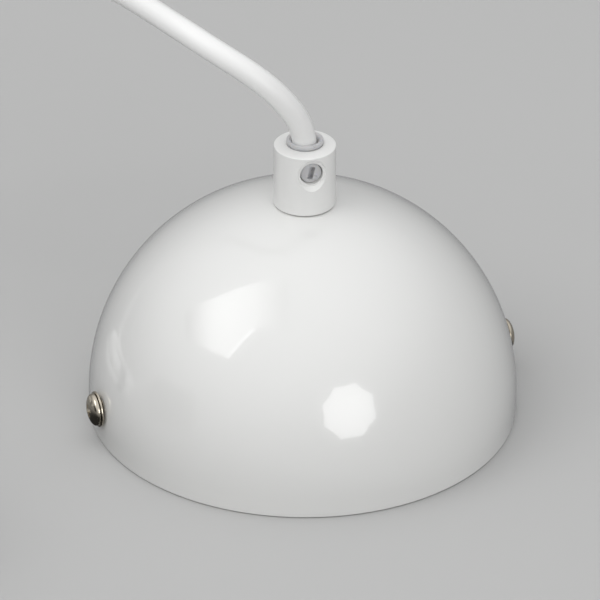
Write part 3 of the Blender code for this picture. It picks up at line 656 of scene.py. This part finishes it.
FLEX_START = [(0.4, -0.1, 62.5), (0.27, -0.05, 66.5), (-0.37, -0.4, 70.42)]
FLEX_ROUTE = [(-1.3, -1.2, 74.2), (-3.0, -1.9, 77.8), (-7.7, -2.0, 84.3), (-13.4, 0.1, 89.6),
              (-19.0, 4.5, 93.2), (-23.5, 10.7, 95.5), (-26.6, 18.1, 96.3), (-29.1, 25.7, 96.5),
              (-31.4, 33.5, 96.3), (-34.6, 43.0, 95.6), (-39.4, 53.5, 93.3), (-46.2, 64.2, 88.8),
              (-54.8, 74.4, 81.6), (-64.6, 83.5, 71.6), (-74.9, 91.0, 59.4), (-85.0, 96.9, 46.0),
              (-93.8, 100.8, 33.4), (-100.4, 102.7, 23.8), (-105.8, 103.1, 17.5)]
FLEX_END = Vector((-133.95, 18.4, 17.28))


def bridge(start, heading, end, aim, pull=0.36, count=20):
    """Points of a Bezier curve that leaves start along heading and reaches end along aim."""
    reach = (end - start).length * pull
    first, second = start + heading * reach, end - aim * reach
    out = []
    for k in range(1, count + 1):
        t = k / count
        out.append(start * (1 - t) ** 3 + first * 3 * t * (1 - t) ** 2
                   + second * 3 * t * t * (1 - t) + end * t ** 3)
    return out


def build_flex():
    coil = coil_line()
    route = [Vector(p) for p in FLEX_START + FLEX_ROUTE] + coil[:1]
    points = through(route)[:-1] + coil
    heading = (coil[-1] - coil[-3]).normalized()
    aim = Vector((0.0, -math.cos(HOLDER_TILT), math.sin(HOLDER_TILT)))
    points += bridge(coil[-1], heading, FLEX_END, aim)
    fine = spaced(points, 1.0)
    # The first stretch keeps its route; the rest is evened out more.
    first, light, strong = 95, 8, 30
    fine = smoothed(fine[:first + 1], light)[:-1] + smoothed(fine[first:], strong)
    line = spaced(fine, 1.6)
    flex = round_curve("pendant_flex", line, FLEX_R, PVC, sides=8)
    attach(flex, "canopy")
    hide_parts("flex_free_run", "flex_coil", "flex_tail")
    return flex


# ---------------------------------------------------------------- lampholder
def holder_matrix():
    turn = Matrix.Rotation(-math.pi / 2 - HOLDER_TILT, 4, "X")
    return Matrix.Translation(HOLDER_AT) @ turn


def build_lampholder():
    place = holder_matrix()
    pieces = []
    skirt = [(17.6, 0.0), (19.5, 0.0), (19.5, 9.2)]
    z = 9.2
    while z < 22.0:
        skirt += [(18.9, z + 0.5), (18.9, z + 1.2), (19.35, z + 1.7)]
        z += 2.1
    skirt += [(19.5, 22.4), (19.5, 30.0), (17.6, 30.0)]
    pieces.append(plain("holder_skirt_threaded", skirt, BLACK, "canopy", "lampholder_skirt",
                        128, place, 0.25))
    cap = [(18.0, 30.3), (19.5, 30.3), (19.5, 46.0), (19.0, 48.6), (17.4, 50.8), (15.0, 52.0),
           (8.4, 53.0), (7.6, 54.0), (7.6, 57.5), (5.3, 57.5), (5.3, 51.4), (14.4, 50.4),
           (16.6, 49.0), (18.0, 45.5)]
    pieces.append(plain("holder_cap_moulded", cap, BLACK, "canopy", "lampholder_cap",
                        128, place, 0.5))
    ring = [(19.8, 11.5), (23.5, 11.5), (23.5, 15.0), (21.2, 15.0), (20.9, 19.5), (19.8, 19.5)]
    pieces.append(plain("holder_ring_ribbed", ring, BLACK, "shade_ring",
                        "lampholder_shade_ring", 128, place, 0.3))
    shell = []
    for k in range(46):
        z = 2.0 + 22.7 * k / 45
        shell.append((13.75 + 0.3 * math.sin(2 * math.pi * (z - 2.0) / 3.63), z))
    inner = [(r - 0.4, z) for r, z in reversed(shell)]
    pieces.append(plain("holder_shell_threaded", shell + inner, ALUMINIUM, "canopy",
                        "lampholder_screw_shell", 128, place, 0))
    insert = [(0.0, 25.0), (3.0, 25.0), (3.0, 27.0), (9.5, 27.0), (9.5, 25.0), (17.2, 25.0),
              (17.2, 33.0), (12.0, 33.0), (12.0, 36.0), (0.0, 36.0)]
    pieces.append(plain("holder_insert_moulded", insert, PORCELAIN, "canopy",
                        "lampholder_insert", 96, place, 0.3))
    contact = [(0.0, 22.4), (3.2, 22.45), (4.2, 22.9), (4.2, 23.3), (0.0, 23.3)]
    pieces.append(plain("holder_contact_spring", contact, BRASS, "centre_contact",
                        "lampholder_centre_contact", 96, place, 0.15))
    bore = FLEX_R + 0.1
    gland = [(bore, 50.0), (5.0, 50.0), (5.0, 58.0), (5.9, 58.0), (5.9, 60.0), (4.6, 62.0),
             (bore, 62.0)]
    pieces.append(plain("holder_gland_tapered", gland, BLACK, "canopy",
                        "lampholder_cord_gland", 96, place, 0.25))
    return pieces


def build_tie():
    """A flat hook-and-loop band round the coil."""
    low, high = 0.5, 13.1
    inner, outer = 24.4, 37.6
    corner = 3.0
    path = []
    for cx, cz, start in ((outer - corner, low + corner, -90), (outer - corner, high - corner, 0),
                          (inner + corner, high - corner, 90), (inner + corner, low + corner, 180)):
        path += [(cx + corner * math.cos(math.radians(start + 9 * k)),
                  cz + corner * math.sin(math.radians(start + 9 * k))) for k in range(11)]
    bm = bmesh.new()
    thick, half, count = 0.45, 4.0, len(path)
    middle = Vector(((inner + outer) / 2, (low + high) / 2))
    rows = []
    for r, z in path:
        away = Vector((r, z)) - middle
        shrink = away - Vector((math.copysign(thick, away.x), math.copysign(thick, away.y)))
        inside = middle + shrink
        rows.append([bm.verts.new(Vector((px, y, pz)) * MM) for px, pz, y in
                     ((r, z, -half), (r, z, half), (inside.x, inside.y, half),
                      (inside.x, inside.y, -half))])
    for i in range(count):
        a, b = rows[i], rows[(i + 1) % count]
        for k in range(4):
            n = (k + 1) % 4
            bm.faces.new((a[k], a[n], b[n], b[k]))
    place = at(COIL_X, COIL_Y) @ Matrix.Rotation(TIE_ANGLE, 4, "Z")
    bmesh.ops.transform(bm, matrix=place, verts=bm.verts)
    tie = add_mesh(bm, "tie_band", HOOK, 50.0)
    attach(tie, "canopy")
    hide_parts("coil_tie")
    return tie


# ---------------------------------------------------------------- stage, light and camera
def view_axes():
    """Camera right, up and back directions in the row frame."""
    s, c = math.sin(VIEW_TURN), math.cos(VIEW_TURN)
    se, ce = math.sin(VIEW_TILT), math.cos(VIEW_TILT)
    right = Vector((c, -s, 0))
    up = Vector((s * se, c * se, ce))
    back = Vector((-s * ce, -c * ce, se))
    sr, cr = math.sin(VIEW_ROLL), math.cos(VIEW_ROLL)
    return right * cr + up * sr, up * cr - right * sr, back


def build_camera():
    right, up, back = view_axes()
    s, c = math.sin(VIEW_TURN), math.cos(VIEW_TURN)
    aim = Vector((VIEW_AIM.x * c, -VIEW_AIM.x * s, VIEW_AIM.z))
    data = bpy.data.cameras.new("camera")
    data.lens, data.sensor_width, data.sensor_fit = VIEW_LENS, 36.0, "HORIZONTAL"
    data.clip_start, data.clip_end = 0.05, 20.0
    camera = bpy.data.objects.new("camera", data)
    spot = (aim + back * VIEW_DISTANCE) * MM
    turn = Matrix((right, up, back)).transposed().to_4x4()
    camera.matrix_world = Matrix.Translation(spot) @ turn
    bpy.context.scene.collection.objects.link(camera)
    bpy.context.scene.camera = camera


def toward(azimuth, elevation):
    """Direction at an azimuth to the right of the camera's own and an elevation, in degrees."""
    a = math.radians(azimuth - 90.0) - VIEW_TURN
    e = math.radians(elevation)
    return Vector((math.cos(a) * math.cos(e), math.sin(a) * math.cos(e), math.sin(e)))


def glow_material(name, strength):
    """Plain emission, scaled by the panel's own point values."""
    mat = bpy.data.materials.new(name)
    mat.use_nodes = True
    tree = mat.node_tree
    tree.nodes.clear()
    output = tree.nodes.new("ShaderNodeOutputMaterial")
    emission = tree.nodes.new("ShaderNodeEmission")
    value = tree.nodes.new("ShaderNodeAttribute")
    value.attribute_name = "glow"
    scale = tree.nodes.new("ShaderNodeMath")
    scale.operation = "MULTIPLY"
    scale.inputs[1].default_value = strength
    tree.links.new(value.outputs["Fac"], scale.inputs[0])
    tree.links.new(scale.outputs["Value"], emission.inputs["Strength"])
    tree.links.new(emission.outputs["Emission"], output.inputs["Surface"])
    return mat


def light_panel(name, rows, glows, strength):
    """A glowing sheet through rows of points, unseen by the camera; glows holds one value a row."""
    bm = bmesh.new()
    lines = [[bm.verts.new(p) for p in row] for row in rows]
    for low, high in zip(lines, lines[1:]):
        for k in range(len(low) - 1):
            bm.faces.new((low[k], low[k + 1], high[k + 1], high[k]))
    mesh = bpy.data.meshes.new(name)
    bm.to_mesh(mesh)
    bm.free()
    layer = mesh.attributes.new("glow", "FLOAT", "POINT")
    width = len(rows[0])
    for index in range(len(mesh.vertices)):
        layer.data[index].value = glows[index // width]
    mesh.materials.append(glow_material(name, strength))
    panel = bpy.data.objects.new(name, mesh)
    bpy.context.scene.collection.objects.link(panel)
    panel.visible_camera = False


def key_light():
    """Broad soft light high over the camera; its own mirror image is kept off the gloss."""
    data = bpy.data.lights.new("key", "SUN")
    data.energy, data.angle = KEY_POWER, math.radians(KEY_SPREAD)
    key = bpy.data.objects.new("key", data)
    key.rotation_euler = toward(-40.0, 80.0).to_track_quat("Z", "Y").to_euler()
    key.visible_glossy = False
    bpy.context.scene.collection.objects.link(key)


def octagon_light():
    """Eight-sided softbox to the right of the camera, low over the floor."""
    spread = math.tan(math.radians(15.0))
    middle = toward(25.3, 14.9)
    across = Vector((0, 0, 1)).cross(middle).normalized()
    rise = middle.cross(across)
    edge = []
    for k in range(16):
        a = math.radians(67.5 + 22.5 * k)
        reach = spread * (1.0 if k % 2 == 0 else 0.87)
        edge.append(middle + (across * math.cos(a) + rise * math.sin(a)) * reach)
    edge.append(edge[0])
    rows = [[LIGHT_CENTRE + LIGHT_DISTANCE * (middle + (p - middle) * share) for p in edge]
            for share in (0.02, 1.0)]
    light_panel("softbox_octagon", rows, (1.0, 1.0), OCTAGON_GLOW)


def light_row(start, stop, columns=8):
    """Points in a row from one direction to another, seen from the middle of the light."""
    return [LIGHT_CENTRE + LIGHT_DISTANCE * start.lerp(stop, i / columns)
            for i in range(columns + 1)]


def window_light():
    """Tall window on the left: brightest along one post, fading to both sides of it."""
    levels = 6
    posts = ((toward(-96.0, 32.0), toward(-82.0, 28.0), 0.0),
             (toward(-93.0, 47.0), toward(-63.0, 32.5), 0.9),
             (toward(-92.0, 54.0), toward(-53.0, 34.5), 1.0),
             (toward(-92.0, 66.0), toward(-47.0, 54.0), 0.8),
             (toward(-88.0, 86.0), toward(-8.0, 61.0), 0.0))
    rows, glows = [], []
    for (top, foot, glow), (next_top, next_foot, next_glow) in zip(posts, posts[1:]):
        for j in range(levels):
            t = j / levels
            rows.append(light_row(top.slerp(next_top, t), foot.slerp(next_foot, t)))
            glows.append(glow + (next_glow - glow) * t)
    light_panel("window", rows, glows, WINDOW_GLOW)
    sill = [light_row(toward(-53.0, 34.5), toward(-47.0, 54.0)),
            light_row(toward(-50.5, 34.0), toward(-43.5, 54.0))]
    light_panel("window_sill", sill, (1.3, 1.3), WINDOW_GLOW)


def sky_factor(tree, place, direction, start, stop, low, high):
    """A value that goes smoothly from low to high as the sky nears a direction."""
    facing = tree.nodes.new("ShaderNodeVectorMath")
    facing.operation = "DOT_PRODUCT"
    facing.inputs[1].default_value = direction
    ease = tree.nodes.new("ShaderNodeMapRange")
    ease.interpolation_type = "SMOOTHSTEP"
    for name, value in (("From Min", start), ("From Max", stop), ("To Min", low), ("To Max", high)):
        ease.inputs[name].default_value = value
    tree.links.new(place.outputs["Generated"], facing.inputs[0])
    tree.links.new(facing.outputs["Value"], ease.inputs["Value"])
    return ease.outputs["Result"]


def studio_sky():
    """Grey surroundings, brighter towards a soft light overhead and dark low in front."""
    world = bpy.data.worlds.new("world")
    bpy.context.scene.world = world
    world.use_nodes = True
    tree = world.node_tree
    sky = tree.nodes["Background"]
    sky.inputs["Color"].default_value = (0.985, 0.99, 1.0, 1.0)
    place = tree.nodes.new("ShaderNodeTexCoord")
    whole = tree.nodes.new("ShaderNodeMath")
    whole.operation = "MULTIPLY"
    overhead = sky_factor(tree, place, toward(-45.0, 76.0), 0.05, 0.85, SKY_LOW, SKY_HIGH)
    under = sky_factor(tree, place, toward(-40.0, -75.0), 0.33, 0.60, 1.0, SKY_UNDER)
    tree.links.new(overhead, whole.inputs[0])
    tree.links.new(under, whole.inputs[1])
    tree.links.new(whole.outputs["Value"], sky.inputs["Strength"])


def build_stage():
    bm = bmesh.new()
    bmesh.ops.create_grid(bm, x_segments=1, y_segments=1, size=3.0)
    grey = (FLOOR_TONE, FLOOR_TONE, FLOOR_TONE * 0.99)
    floor = add_mesh(bm, "floor", node_material("floor", grey, 0.8, grain=60.0, tint=0.01,
                                                bump=0.0))
    floor.location.z = -0.1 * MM
    floor.visible_glossy = False
    studio_sky()
    bpy.context.scene.view_settings.view_transform = "Standard"
    key_light()
    octagon_light()
    window_light()


# ---------------------------------------------------------------- assembly
build_camera()
build_stage()
build_dome()
build_collar()
build_bush()
build_set_screw()
build_side_screws()
build_inside()
build_cores()
flex = build_flex()
holder = build_lampholder()
tie = build_tie()
